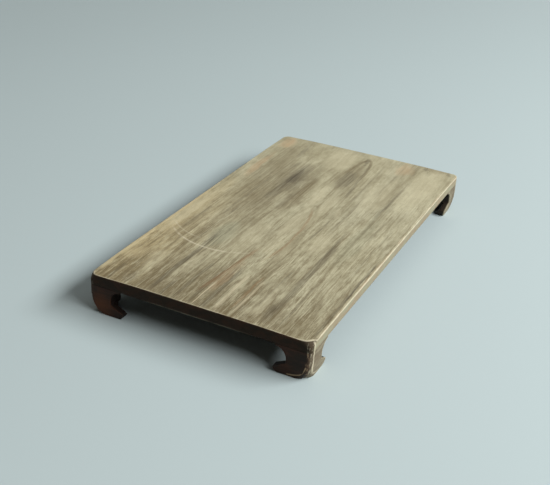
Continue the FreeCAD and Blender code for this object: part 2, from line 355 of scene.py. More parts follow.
def make_figure():
    """Build the group that gives ring lines, ring tones, fibres and pores."""
    group, given, out = new_group(
        "wood_figure",
        {"Ring width": 0.005, "Pith depth": 0.08, "Slope": 0.03, "Pith offset": 0.0, "Waver": 0.003},
        ["Ring line", "Ring tone", *FIBRE_LAYERS, "Pores"],
    )
    where = given["Place"]
    axes = split(where)
    slow = clouds(where, (3.0, 12.0, 12.0), detail=1.0)
    quick = clouds(where, (18.0, 40.0, 40.0), detail=2.0)
    sway = scaled(slow, SWAY, -SWAY / 2)
    tremble = times(minus(quick, 0.5), given["Waver"])
    across = minus(plus(plus(axes[1], sway), tremble), given["Pith offset"])
    depth = plus(scaled(axes[0], given["Slope"], given["Pith depth"]), axes[2])
    reach = maths("SQRT", scaled(across, across, times(depth, depth)))
    count = divide(reach, given["Ring width"])
    part = maths("FRACT", count)
    wire(times(ease(part, 0.35, 0.93), ease(part, 1.0, 0.94)), out["Ring line"])
    tone = add("ShaderNodeTexWhiteNoise", {"W": maths("FLOOR", count)}, noise_dimensions="1D")
    wire(tone.outputs["Value"], out["Ring tone"])

    bent = add("ShaderNodeCombineXYZ", {0: axes[0], 1: across, 2: axes[2]}).outputs[0]
    for label, (repeats, roughness) in FIBRE_LAYERS.items():
        wire(clouds(bent, repeats, roughness=roughness), out[label])
    wire(ease(clouds(bent, PORE_REPEATS, detail=1.0), 0.62, 0.72), out["Pores"])
    return group


figure_group = make_figure()
print(figure_group.name, "has", len(figure_group.nodes), "nodes")

# %% [markdown]
# Three marks repeat on the plank: a soft stain drawn out along the grain, a thin line that follows the grain with a
# slope and a bow, and the pointed arch that a ring makes where the saw left it. Each is a group with its own place and
# size, so a list of marks in millimetres can draw them.


# %% Mark groups
def make_stain():
    """Build the group that gives a soft oval drawn out along the wood."""
    values = {"X": 0.0, "Y": 0.0, "Half length": 0.05, "Half width": 0.01}
    group, given, out = new_group("stain", values, ["Mask"])
    axes = split(given["Place"])
    along = divide(minus(axes[0], given["X"]), given["Half length"])
    across = divide(minus(axes[1], given["Y"]), given["Half width"])
    wire(ease(scaled(along, along, times(across, across)), 1.0, 0.0), out["Mask"])
    return group


def make_line():
    """Build the group that gives a thin bowed line along the wood."""
    values = {"X": 0.0, "Y": 0.0, "Half length": 0.05, "Half width": 0.001, "Slope": 0.0, "Bow": 0.0}
    group, given, out = new_group("grain_line", values, ["Mask"])
    axes = split(given["Place"])
    along = minus(axes[0], given["X"])
    path = scaled(along, given["Slope"], given["Y"])
    path = scaled(times(along, along), given["Bow"], path)
    off = divide(minus(axes[1], path), given["Half width"])
    side = ease(times(off, off), 1.0, 0.0)
    end = divide(along, given["Half length"])
    wire(times(side, ease(times(end, end), 1.0, 0.4)), out["Mask"])
    return group


def make_arch():
    """Build the group that gives an arch with its tip towards +X."""
    values = {"X": 0.0, "Y": 0.0, "Reach": 0.1, "Half width": 0.001, "Bend": 200.0}
    group, given, out = new_group("grain_arch", values, ["Mask"])
    axes = split(given["Place"])
    along = minus(given["X"], axes[0])
    across = minus(axes[1], given["Y"])
    bent = times(across, given["Bend"])
    off = minus(along, times(bent, across))
    steep = maths("SQRT", scaled(times(bent, 4.0), bent, 1.0))
    off = divide(divide(off, steep), given["Half width"])
    side = ease(times(off, off), 1.0, 0.0)
    wire(times(side, ease(along, given["Reach"], 0.0)), out["Mask"])
    return group


stain_group = make_stain()
line_group = make_line()
arch_group = make_arch()
print("mark groups", stain_group.name, line_group.name, arch_group.name)

# %% [markdown]
# Hands and cloths wear an old finish away first along the arrises. Each mesh below carries an attribute called
# from_arris, its distance from the nearest bare line, with 1 at that line's border. The wear group turns it into a mask
# with a ragged border, and the plank and the feet use it with their own raggedness. A second group gives the pale line
# that runs down beside each rounded corner, on the plank and on the foot below it, and the flecks where the stain has
# come off the corner itself.


# %% Wear group
def make_wear():
    """Build the group that gives bare wood along worn arrises."""
    group, given, out = new_group("arris_wear", {"From arris": 0.0, "Raggedness": 1.0}, ["Mask"])
    coarse = clouds(given["Place"], (60.0, 60.0, 60.0), roughness=0.6)
    ragged = times(minus(coarse, 0.5), given["Raggedness"])
    border = scaled(ragged, 4.0, given["From arris"])
    wire(ease(border, 1.0, 0.35), out["Mask"])
    return group


# How far from the corner the pale line runs, up at the plank and down at the foot, in millimetres
CORNER_LINE = 8.8
LOWER_LINE = 6.5


def make_corner():
    """Build the group that gives a corner's pale upright line and its flecks, strongest at the front left."""
    group, given, out = new_group("corner_line", {"From corner": 0.0, "Across corner": 0.0}, ["Mask", "Flecks"])
    axes = split(given["Place"])
    coarse = clouds(given["Place"], (70.0, 70.0, 70.0), roughness=0.6)
    shaken = scaled(minus(coarse, 0.5), 5.0, given["From corner"])
    line = scaled(ease(axes[2], 0.024, 0.050), CORNER_LINE - LOWER_LINE, LOWER_LINE)
    off = maths("ABSOLUTE", minus(shaken, line))
    front = ease(axes[1], 0.0, -0.05)
    left = ease(axes[0], 0.0, -0.05)
    held = scaled(times(front, left), 0.65, 0.35)
    fleck = clouds(given["Place"], (520.0, 520.0, 130.0), roughness=0.6)
    flecks = times(ease(fleck, 0.50, 0.64), ease(given["Across corner"], 8.0, 4.5))
    wire(times(flecks, held), out["Flecks"])
    held = times(held, ease(axes[2], 0.008, 0.015))
    wire(times(ease(off, 1.8, 0.3), held), out["Mask"])
    return group


wear_group = make_wear()
corner_group = make_corner()
print(wear_group.name, "and", corner_group.name, "ready")

# %% [markdown]
# The plank has lost its finish on top and weathered to a grey tan, while its end grain kept an old dark stain. One
# material does both, because the wear runs across the border. Its ground comes first: patches of pale and grey
# weather, then the figure in bands, fibres and pores, each laid over the last as a thin glaze.

# %% Plank colours
PALE_TAN = srgb(202, 197, 166)
MID_TAN = srgb(169, 162, 132)
STREAK_BROWN = srgb(112, 99, 72)
WEATHER_GREY = srgb(152, 149, 128)
HONEY = srgb(190, 166, 116)
SMOKE = srgb(86, 78, 64)
print("six colours for the top of the plank")

# %% Weathered ground
# Where the honey corner and the darker left end begin and are full, in metres along X or Y
HONEY_ALONG = (0.15, -0.20)
HONEY_ACROSS = (0.04, 0.14)
DARKER_LEFT_ALONG = (-0.140, -0.275)
# The grain is clearer towards the left end: its strength at the middle, and its change in a metre
GRAIN_STRENGTH = 0.82
GRAIN_CHANGE = -2.1
# Noise counts as dark below the first value and as pale above the second
DARK_BELOW = 0.50
PALE_ABOVE = 0.53
# Each layer of grain: how far its values reach from there, and the strength of its dark and its pale
GRAIN_LAYERS = {
    "Band": (0.20, 0.52, 0.33),
    "Fibre": (0.20, 0.50, 0.40),
    "Fine fibre": (0.18, 0.50, 0.36),
    "Fleck": (0.13, 0.42, 0.35),
}


def weather(where):
    """Colour the bare wood: pale and grey weather, a honey corner and a darker left end."""
    axes = split(where)
    broad = clouds(where, (6.0, 18.0, 18.0), 4.0, 0.6)
    colour = mix(ease(broad, 0.26, 0.74), MID_TAN, PALE_TAN)
    patch = clouds(where, (6.0, 20.0, 20.0), 4.0, 0.65, 0.8)
    colour = glaze(colour, ease(patch, 0.42, 0.72), 0.40, WEATHER_GREY)
    warm = times(ease(axes[0], *HONEY_ALONG), ease(axes[1], *HONEY_ACROSS))
    colour = glaze(colour, warm, 0.60, HONEY)
    mottle = clouds(where, (34.0, 60.0, 60.0), 5.0, 0.7)
    colour = glaze(colour, ease(mottle, 0.66, 0.28), 0.32, STREAK_BROWN)
    colour = glaze(colour, ease(mottle, 0.38, 0.78), 0.29, PALE_TAN)
    # The left end of the top is made darker with streak brown, broken by the mottle.
    left_darkening = scaled(ease(mottle, 0.62, 0.40), 0.30, 0.40)
    return glaze(colour, ease(axes[0], *DARKER_LEFT_ALONG), left_darkening, STREAK_BROWN)


def lay_grain(where, figure, colour):
    """Lay the rings, the bands, the fibres, the flecks and the pores over the weather."""
    clear = scaled(split(where)[0], GRAIN_CHANGE, GRAIN_STRENGTH)
    line = times(figure["Ring line"], scaled(figure["Ring tone"], 0.35, 0.05))
    colour = glaze(colour, line, clear, STREAK_BROWN)
    fleck = clouds(where, (52.0, 200.0, 200.0), 5.0, 0.75)
    for label, (spread, dark_share, pale_share) in GRAIN_LAYERS.items():
        layer = fleck if label == "Fleck" else figure[label]
        dark = times(ease(layer, DARK_BELOW, DARK_BELOW - spread), clear)
        colour = glaze(colour, dark, dark_share, STREAK_BROWN)
        pale = times(ease(layer, PALE_ABOVE, PALE_ABOVE + spread), clear)
        colour = glaze(colour, pale, pale_share, PALE_TAN)
    return glaze(colour, figure["Pores"], 0.25, SMOKE)


print(len(GRAIN_LAYERS), "layers of grain")

# %% [markdown]
# Then come the marks that hold the eye. They are placed one by one in millimetres: smoky stains, pale and tinted
# patches, dark and reddish lines along the grain, and the arch near the right end. Noise moves their borders a little,
# and the fibres show through them, so that none looks drawn with a compass.

# %% Marks on the plank
PATCH_CREAM = srgb(209, 202, 170)
PATCH_STRAW = srgb(212, 197, 156)
PATCH_ROSE = srgb(192, 162, 126)
PATCH_GREEN = srgb(146, 150, 127)
LINE_UMBER = srgb(104, 80, 60)
LINE_RUST = srgb(142, 114, 82)
LINE_CREAM = srgb(222, 210, 178)
# Stains by colour, in millimetres: X, Y, half length, half width, strength
STAINS = {
    STREAK_BROWN: [
        (80, 84, 140, 50, 0.66), (190, 108, 70, 20, 0.5), (165, -10, 66, 22, 0.6), (72, 30, 80, 15, 0.85),
        (-95, 116, 64, 15, 0.45), (-215, 69, 80, 9, 0.5), (-215, 32, 70, 16, 0.35), (-232, -4, 60, 14, 0.45),
        (-240, -84, 50, 14, 0.4), (-120, -80, 110, 10, 0.4), (-30, 62, 70, 30, 0.25), (-262, 66, 36, 36, 0.4),
        (-258, -118, 46, 26, 0.4), (-185, -143, 85, 8, 0.5), (264, -100, 24, 30, 0.4), (130, -84, 60, 14, 0.3),
        (215, -2, 50, 16, 0.35), (215, -84, 70, 12, 0.35), (270, -118, 20, 24, 0.75), (105, -20, 56, 20, 0.35),
        (150, -88, 60, 10, 0.3), (157, -43, 34, 14, 0.34), (254, -130, 26, 14, 0.36), (157, 44, 34, 14, 0.3),
    ],
    PATCH_CREAM: [
        (-208, 99, 34, 12, 0.35), (-95, 24, 72, 24, 0.3), (-92, -10, 40, 12, 0.35), (-50, -60, 40, 14, 0.4),
        (78, 2, 44, 10, 0.5), (64, -22, 44, 12, 0.4), (190, -118, 120, 30, 0.5), (125, -70, 95, 22, 0.35),
        (228, 27, 56, 30, 0.52), (-180, 58, 40, 9, 0.3), (42, -45, 14, 4, 0.3), (-20, -20, 70, 10, 0.3),
        (-10, -3, 70, 12, 0.4), (-92, 52, 36, 9, 0.3), (-248, -58, 24, 12, 0.3), (-158, 56, 36, 5, 0.35),
        (-155, 42, 34, 6, 0.3), (-100, -30, 42, 7, 0.35), (-222, -66, 46, 7, 0.45), (-55, 136, 85, 9, 0.45),
        (-150, -121, 40, 8, 0.25),
    ],
    SMOKE: [
        (120, 61, 38, 9, 0.85), (118, 60, 74, 18, 0.42), (60, 64, 44, 12, 0.4), (45, 37, 60, 10, 0.25),
        (158, -9, 46, 15, 0.48), (244, -10, 14, 6, 0.55), (222, 92, 28, 6, 0.4), (165, 80, 28, 6, 0.3),
        (262, -139, 9, 5, 0.4), (-248, -48, 15, 10, 0.2), (-245, -82, 20, 8, 0.45), (106, -95, 75, 5, 0.3),
        (259, -103, 8, 7, 0.5), (-258, 102, 18, 12, 0.4),
    ],
    PATCH_STRAW: [
        (-80, 147, 170, 6, 0.7), (-215, 146, 50, 6, 0.65), (-202, 131, 32, 14, 0.42), (-112, 131, 34, 14, 0.36),
        (-10, 132, 100, 13, 0.26),
    ],
    PATCH_ROSE: [
        (242, 130, 30, 15, 0.6), (140, 130, 62, 8, 0.5), (243, -73, 26, 18, 0.4), (-205, 3, 38, 9, 0.25),
    ],
    PATCH_GREEN: [
        (-95, 62, 46, 20, 0.4), (-20, -100, 90, 16, 0.25),
    ],
}
# Lines along the grain by colour: X, Y, half length, half width, strength, and where needed slope and bow per metre
LINES = {
    SMOKE: [
        (-180, 67, 100, 4.4, 0.6), (-254, 50, 22, 3.0, 0.45), (-222, 33, 56, 3.2, 0.45), (-226, 13, 52, 3.2, 0.42),
        (-196, 1, 34, 3.0, 0.4), (-222, -6, 60, 4.5, 0.5), (-143, -83.5, 116, 6.0, 0.46, 0.01),
        (-60, -79, 60, 2.4, 0.4), (-190, -62, 60, 1.8, 0.32), (-20, -44, 40, 2.0, 0.45, 0.01),
        (-210, -102, 60, 2.0, 0.3), (-40, -130, 90, 1.6, 0.22), (-123, -146, 60, 1.6, 0.75),
        (-170, -145, 110, 3.0, 0.45), (-250, 125, 22, 2.8, 0.4), (-70, 117, 44, 4.5, 0.3), (-80, 84, 80, 2.0, 0.35),
        (160, -44, 90, 2.0, 0.28, 0.03), (130, -96, 90, 2.2, 0.3), (20, -112, 40, 1.8, 0.25), (60, -58, 80, 1.5, 0.25),
        (190, -70, 70, 1.5, 0.25), (-120, 60, 60, 1.8, 0.3), (30, 92, 90, 2.2, 0.3), (168, -26, 78, 3.2, 0.42, 0.09),
    ],
    LINE_UMBER: [
        (-180, 10, 72, 1.7, 0.62, -0.1),
    ],
    LINE_RUST: [
        (-50, -24, 95, 2.6, 0.5, 0.055, 1.5), (-172, 8, 70, 3.4, 0.5, -0.1), (-214, -37.5, 46, 2.4, 0.5),
        (-190, 2, 48, 6.0, 0.28, -0.02),
    ],
    LINE_CREAM: [
        (-242, 7, 34, 1.2, 0.6), (-222, -20, 50, 3.4, 0.38), (-222, -43.5, 44, 2.4, 0.42),
    ],
}
# Arches: tip X, tip Y, reach, half width, bend per metre, strength
ARCHES = [(247, -12, 130, 3.2, 300.0, 0.52), (48, -8, 170, 2.8, 260.0, 0.20)]
print(sum(len(row) for row in (*STAINS.values(), *LINES.values())), "stains and lines,", len(ARCHES), "arches")


# %% Laying the marks
def loosened(where, wobble, along, across):
    """Move a place by noise, over so many metres along and across the wood."""
    shift = {0: scaled(wobble, along, -along / 2), 1: scaled(wobble, across, -across / 2)}
    both = {0: where, 1: add("ShaderNodeCombineXYZ", shift).outputs[0]}
    return add("ShaderNodeVectorMath", both, operation="ADD").outputs[0]


def spot(where, x, y, half_width, **sizes):
    """Say where a mark lies and how large it is, from millimetres to metres."""
    return {"Place": where, "X": x * MM, "Y": y * MM, "Half width": half_width * MM, **sizes}


def lay_marks(where, figure, colour):
    """Lay the stains, lines and arches over the ground."""
    wobble = clouds(where, (18.0, 60.0, 60.0), 4.0, 0.65)
    loose = loosened(where, wobble, 0.07, 0.018)
    near = loosened(where, wobble, 0.0, 0.007)
    streaky = scaled(ease(figure["Fibre"], 0.64, 0.36), 0.4, 0.6)
    for tint, rows in STAINS.items():
        for x, y, half_length, half_width, strength in rows:
            mask = place(stain_group, spot(loose, x, y, half_width, **{"Half length": half_length * MM}))["Mask"]
            colour = glaze(colour, times(mask, streaky), strength, tint)
    broken = ease(figure["Fine fibre"], 0.80, 0.42)
    for tint, rows in LINES.items():
        for x, y, half_length, half_width, strength, *bent in rows:
            slope, bow = (*bent, 0.0, 0.0)[:2]
            sizes = {"Half length": half_length * MM, "Slope": slope, "Bow": bow}
            mask = place(line_group, spot(near, x, y, half_width, **sizes))["Mask"]
            colour = glaze(colour, times(mask, broken), strength, tint)
    for x, y, reach, half_width, bend, strength in ARCHES:
        mask = place(arch_group, spot(near, x, y, half_width, Reach=reach * MM, Bend=bend))["Mask"]
        colour = glaze(colour, mask, strength, STREAK_BROWN)
    return colour


print("marks ready to lay")

# %% [markdown]
# A round pot was turned on the plank once and left a pale arc, and a smaller one left a fainter arc beside it. Each is
# a ring about the pot's middle, thin and broken, and kept only on one side.

# %% Pot scratch
SCRATCH_GREY = srgb(214, 205, 178)
# Each arc, in millimetres: the pot's X, Y and radius, the arc's half width, where it is gone and whole along Y and
# along X, and its strength
POT_ARCS = [
    (-46.3, 60.0, 97.0, 2.4, (-12, 48), (-111, -124), 0.58),
    (-40.0, 75.0, 84.0, 1.8, (80, 98), (-92, -104), 0.32),
]


def lay_scratch(where, colour):
    """Lay the pots' arcs over the marks."""
    axes = split(where)
    broken = ease(clouds(where, (90.0, 90.0, 90.0), roughness=0.6), 0.24, 0.48)
    for x, y, radius, half_width, across, along, strength in POT_ARCS:
        from_pot = add("ShaderNodeVectorMath", {0: where, 1: (x * MM, y * MM, TOP * MM)}, operation="SUBTRACT")
        reach = add("ShaderNodeVectorMath", {0: from_pot.outputs[0]}, operation="LENGTH").outputs["Value"]
        off = maths("ABSOLUTE", minus(reach, radius * MM))
        low_end = ease(axes[1], across[0] * MM, across[1] * MM)
        left_side = ease(axes[0], along[0] * MM, along[1] * MM)
        kept = times(times(low_end, left_side), broken)
        colour = glaze(colour, times(ease(off, half_width * MM, 0.0), kept), strength, SCRATCH_GREY)
    return colour


print(len(POT_ARCS), "arcs")

# %% [markdown]
# The edges come last. The ends of the plank keep the dark stain, the long sides are rubbed to tan, and a cream line
# shows where the arris is bare. A faint painted highlight lies along the lower arris of the left end, between the
# feet, where that arris catches the light. The surface normal tells ends from sides, so the border follows the
# rounded corner.

# %% Plank edges
OLD_STAIN = srgb(36, 28, 20)
OLD_RED = srgb(48, 32, 22)
CORNER_BROWN = srgb(70, 59, 45)
SIDE_TAN = srgb(151, 147, 122)
SIDE_ROSE = srgb(152, 136, 112)
BARE_CREAM = srgb(206, 197, 170)
# The painted highlight on the lower arris: the heights above the feet, in millimetres, and the places from the
# middle, in metres, where it is gone and whole
LOW_HIGHLIGHT_HEIGHTS = (1.4, 0.6)
LOW_HIGHLIGHT_REACH = (0.085, 0.035)


def read_facing():
    """Read how the surface lies: its normal, how upright it is, how far it turns to the end, and the end alone."""
    normal = split(add("ShaderNodeNewGeometry").outputs["Normal"])
    upright = maths("SQRT", maths("SUBTRACT", 1.0, times(normal[2], normal[2]), clamp=True))
    to_end = divide(maths("ABSOLUTE", normal[0]), maths("MAXIMUM", upright, 0.01))
    return normal, upright, to_end, ease(to_end, 0.70, 0.97)


def lay_edges(colour, facing, mottle):
    """Lay the stained ends and underside and the rubbed sides round the top."""
    normal, upright, to_end, at_end = facing
    side = mix(ease(mottle, 0.38, 0.64), SIDE_TAN, SIDE_ROSE)
    side = glaze(side, ease(mottle, 0.46, 0.34), 0.5, WEATHER_GREY)
    side = mix(ease(to_end, 0.05, 0.35), side, CORNER_BROWN)
    end = mix(ease(mottle, 0.40, 0.66), OLD_STAIN, OLD_RED)
    side = mix(at_end, side, end)
    start = scaled(at_end, -0.20, 0.30)
    colour = mix(ease(upright, start, plus(start, 0.30)), colour, side)
    return mix(ease(normal[2], -0.60, -0.95), colour, end)


def lay_bare(where, colour, facing, mottle):
    """Lay pale corner lines, flecks, a painted lower highlight and bare arrises over the edges."""
    normal, upright, to_end, at_end = facing
    axes = split(where)
    from_end = minus(HALF_LENGTH * MM, maths("ABSOLUTE", axes[0]))
    from_side = minus(HALF_WIDTH * MM, maths("ABSOLUTE", axes[1]))
    across = divide(maths("MAXIMUM", from_end, from_side), MM)
    corner = place(corner_group, {"Place": where, "From corner": divide(from_end, MM), "Across corner": across})
    on_edge = ease(upright, 0.6, 0.9)
    colour = glaze(colour, times(corner["Flecks"], on_edge), 0.50, BARE_CREAM)
    line = times(times(corner["Mask"], on_edge), ease(to_end, 0.8, 0.6))
    colour = glaze(colour, line, 0.7, BARE_CREAM)
    # Painted highlight: a faint pale line along the lower arris of the left end, between the feet.
    low = ease(axes[2], *((FOOT_HEIGHT + height) * MM for height in LOW_HIGHLIGHT_HEIGHTS))
    low = times(low, ease(maths("ABSOLUTE", axes[1]), *LOW_HIGHLIGHT_REACH))
    low = times(low, ease(normal[0], -0.5, -0.8))
    colour = glaze(colour, low, times(ease(mottle, 0.32, 0.52), 0.34), BARE_CREAM)
    worn = place(wear_group, {"Place": where, "From arris": attribute("from_arris"), "Raggedness": 0.45})["Mask"]
    return glaze(colour, worn, scaled(at_end, -0.25, 0.85), BARE_CREAM)


print("edges ready to lay")

# %% [markdown]
# The plank's layers now go together in one material. Old bare wood hardly shines, so the specular level is low, one
# plain number for the whole plank. The fibres change the roughness, and a fine bump lets them catch the light.

# %% Plank finish
# How the rings lie in the plank, in metres
PLANK_FIGURE = {"Ring width": 0.0062, "Pith depth": 0.0856, "Slope": 0.03, "Pith offset": -0.012}
PLANK_SHINE = 0.09
# The bump's strength, and its height in metres
PLANK_BUMP = (0.35, 0.0006)


def finish_wood(shader, shine, colour, roughness, height, bump):
    """Join a wood's colour, roughness and grain to its shader."""
    strength, distance = bump
    shader.inputs["Specular IOR Level"].default_value = shine
    wire(colour, shader.inputs["Base Color"])
    wire(roughness, shader.inputs["Roughness"])
    raised = add("ShaderNodeBump", {"Strength": strength, "Distance": distance, "Height": height})
    wire(raised.outputs["Normal"], shader.inputs["Normal"])


def plank_finish():
    """Build the weathered plank's material."""
    material, shader, where = start_material("weathered_plank")
    from_top = add("ShaderNodeMapping", {"Vector": where, "Location": (0, 0, -TOP * MM)}).outputs[0]
    waver = scaled(ease(split(where)[0], 0.05, -0.15), 0.003, 0.001)
    figure = place(figure_group, {"Place": from_top, **PLANK_FIGURE, "Waver": waver})
    colour = lay_grain(where, figure, weather(where))
    colour = lay_marks(where, figure, colour)
    colour = lay_scratch(where, colour)
    facing = read_facing()
    mottle = clouds(where, (26.0, 60.0, 120.0), 4.0, 0.65)
    colour = lay_edges(colour, facing, mottle)
    colour = lay_bare(where, colour, facing, mottle)
    rough = scaled(figure["Fibre"], -0.25, 0.72)
    height = scaled(figure["Ring line"], 0.3, figure["Fibre"])
    height = scaled(figure["Fine fibre"], 0.4, height)
    finish_wood(shader, PLANK_SHINE, colour, rough, height, PLANK_BUMP)
    print(material.name, "has", len(material.node_tree.nodes), "nodes")
    return material


weathered_plank = plank_finish()

# %% [markdown]
# The feet carry the same old stain. It is nearly whole on the brackets at the two ends of the stand, where little
# touches it, and rubbed through to tan on the long sides. One function builds both finishes from two sets of colours.
# The wood runs along each bracket, so the end brackets read the figure turned by a quarter. Two attributes in
# millimetres help: from_mitre draws the browner corner and the pale line beside it, and from_face keeps the arch, the
# toe and the back dark: only the outer face is rubbed, and these inner faces are darkened further as painted shade.

# %% Foot colours
# For each finish its colours, then the corner's reach in millimetres, and the strength of its line and of the worn
# arrises. The red shows on the back feet.
STAINED = {
    "ground": srgb(36, 27, 20), "patches": srgb(58, 36, 25), "fibres": srgb(25, 18, 14), "red": srgb(100, 57, 32),
    "corner": srgb(70, 56, 44), "bare": srgb(168, 142, 112), "reach": 5.5, "line": 0.0, "worn": 0.60,
}
RUBBED = {
    "ground": srgb(143, 134, 111), "patches": srgb(118, 106, 86), "fibres": srgb(92, 80, 63), "red": srgb(132, 104, 78),
    "corner": srgb(90, 78, 62), "bare": srgb(206, 197, 170), "reach": 8.0, "line": 0.80, "worn": 0.45,
}
# The inner faces keep the old stain, darkened further as painted shade for the shade under the stand.
INNER_STAIN_AND_SHADE = srgb(24, 18, 15)
print("two sets of foot colours")

# %% Foot finish
FOOT_FIGURE = {"Ring width": 0.0028, "Pith depth": 0.06, "Slope": 0.05, "Pith offset": 0.03}
FOOT_SHINE = 0.14
FIBRE_BUMP = (0.3, 0.0005)
# Where the red is gone and full, in metres along Y and Z and in millimetres from the mitre. Kept off the mitre, the
# red leaves the corner dark there as painted shade.
RED_ACROSS = (0.108, 0.134)
RED_HEIGHT = (0.040, 0.012)
RED_OFF_SHADED_MITRE = (2.0, 9.0)


def turned_figure(where, rotation, rings):
    """Read the wood's figure turned to run along a piece."""
    turned = add("ShaderNodeMapping", {"Vector": where, "Rotation": rotation}).outputs[0]
    return place(figure_group, {"Place": turned, **rings})


def lay_fibres(colour, figure, line_strength, fibre_strength, tint):
    """Lay the rings and the fibres over a colour."""
    colour = glaze(colour, figure["Ring line"], line_strength, tint)
    colour = glaze(colour, ease(figure["Fibre"], 0.52, 0.32), fibre_strength, tint)
    return glaze(colour, ease(figure["Fine fibre"], 0.50, 0.32), 0.35, tint)


def foot_finish(name, rotation, tones):
    """Build a bracket's material, with the wood turned about the upright."""
    material, shader, where = start_material(name)
    figure = turned_figure(where, rotation, FOOT_FIGURE)
    broad = clouds(where, (40.0, 40.0, 60.0), 4.0, 0.6)
    colour = mix(ease(broad, 0.40, 0.62), tones["ground"], tones["patches"])
    colour = lay_fibres(colour, figure, 0.25, 0.5, tones["fibres"])

    axes = split(where)
    from_mitre = attribute("from_mitre")
    reddened = times(ease(axes[1], *RED_ACROSS), ease(axes[2], *RED_HEIGHT))
    # Painted shade: the red fades out towards the mitre, so the corner stays dark.
    colour = glaze(colour, times(reddened, ease(from_mitre, *RED_OFF_SHADED_MITRE)), 0.62, tones["red"])
    spotted = scaled(ease(broad, 0.36, 0.60), 0.6, 0.4)
    colour = glaze(colour, ease(from_mitre, tones["reach"], tones["reach"] - 3.0), spotted, tones["corner"])
    corner = place(corner_group, {"Place": where, "From corner": from_mitre, "Across corner": from_mitre})
    colour = glaze(colour, corner["Flecks"], 0.50, tones["bare"])
    colour = glaze(colour, corner["Mask"], tones["line"], tones["bare"])
    worn = place(wear_group, {"Place": where, "From arris": attribute("from_arris"), "Raggedness": 0.6})["Mask"]
    colour = glaze(colour, worn, tones["worn"], tones["bare"])
    # Painted shade: the arch, the toe and the back of a bracket go nearly black, deeper than the old stain alone.
    colour = glaze(colour, ease(attribute("from_face"), 0.7, 2.4), 0.92, INNER_STAIN_AND_SHADE)

    height = scaled(figure["Fine fibre"], 0.4, figure["Fibre"])
    finish_wood(shader, FOOT_SHINE, colour, scaled(broad, 0.3, 0.38), height, FIBRE_BUMP)
    print(material.name, "has", len(material.node_tree.nodes), "nodes")
    return material


QUARTER = math.radians(90)
foot_side_wood = foot_finish("foot_side_wood", (0, 0, 0), RUBBED)
foot_end_wood = foot_finish("foot_end_wood", (0, 0, QUARTER), STAINED)

# %% [markdown]
# The battens, the glue blocks and the pegs sit under the plank, so their CAD shapes stay. They only need a finish. The
# battens and the pegs are plain wood that was never stained, grey with dust, and the blocks took the stain with the
# feet. Each kind reads the figure turned to its own grain.

# %% Hidden pieces
INNER_FIGURE = {"Ring width": 0.0024, "Pith depth": 0.07, "Slope": 0.04, "Pith offset": 0.02}
INNER_SHINE = 0.25
INNER_DUST = srgb(138, 128, 110)


def inner_finish(name, rotation, pale, dark, dusty):
    """Build a plain wood finish, with the wood turned to run along the piece."""
    material, shader, where = start_material(name)
    figure = turned_figure(where, rotation, INNER_FIGURE)
    colour = mix(ease(figure["Band"], 0.36, 0.66), dark, pale)
    colour = lay_fibres(colour, figure, 0.45, 0.55, dark)
    dust = clouds(where, (35.0, 35.0, 35.0), 4.0, 0.6)
    colour = glaze(colour, ease(dust, 0.45, 0.65), dusty, INNER_DUST)
    height = scaled(figure["Fine fibre"], 0.4, figure["Fibre"])
    finish_wood(shader, INNER_SHINE, colour, scaled(dust, 0.2, 0.62), height, FIBRE_BUMP)
    return material


# The finish of each kind of piece, by a word in its name. A batten's peg counts as a peg.
INNER_WOODS = {
    "peg": inner_finish("peg_wood", (0, QUARTER, 0), srgb(126, 100, 70), srgb(76, 56, 38), 0.5),
    "batten": inner_finish("batten_wood", (0, 0, QUARTER), srgb(158, 136, 104), srgb(104, 84, 60), 0.5),
    "block": inner_finish("block_wood", (0, QUARTER, 0), srgb(66, 52, 40), srgb(38, 29, 22), 0.1),
}
for node_name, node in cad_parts.items():
    kind = next((word for word in INNER_WOODS if word in node_name), None)
    if kind:
        node.material_slots[0].material = INNER_WOODS[kind]
        print(node_name, "gets", INNER_WOODS[kind].name)

# %% [markdown]
# The plank starts as a rectangle. A vertex bevel rounds its corners, an extrusion gives it thickness, and cuts with
# planes give it a mesh fine enough to wear. Then each vertex is drawn in to a rounded outline whose corners are
# rounder near the top, where they have been knocked, and the top droops a little towards the four corners.

# %% Shared mesh steps
CUT_MARGIN = 1e-5
MERGE_DISTANCE = 0.01
EDGE_MARGIN = 0.1
SHARP_ANGLE = math.radians(38)


def everything(bm):
    """List all the parts of a bmesh, as the cutting operator wants them."""
    return bm.verts[:] + bm.edges[:] + bm.faces[:]


def slice_across(bm, axis, heights):
    """Cut a mesh with planes square to one axis, so that it can bend there."""
    square = Vector((0, 0, 0))
    square[axis] = 1
    for height in heights:
        bmesh.ops.bisect_plane(bm, geom=everything(bm), dist=CUT_MARGIN, plane_co=square * height, plane_no=square)


def extrude(bm, faces, way):
    """Extrude faces by a vector, and turn the closed shape's faces outwards."""
    made = bmesh.ops.extrude_face_region(bm, geom=faces)
    moved = [item for item in made["geom"] if isinstance(item, bmesh.types.BMVert)]
    bmesh.ops.translate(bm, vec=way, verts=moved)
    bmesh.ops.recalc_face_normals(bm, faces=bm.faces[:])


def bevel(bm, parts, offset, segments, affect="EDGES"):
    """Round edges or corners."""
    bmesh.ops.bevel(bm, geom=parts, offset=offset, offset_type="OFFSET", segments=segments, profile=0.5,
                    affect=affect, clamp_overlap=True, material=-1)


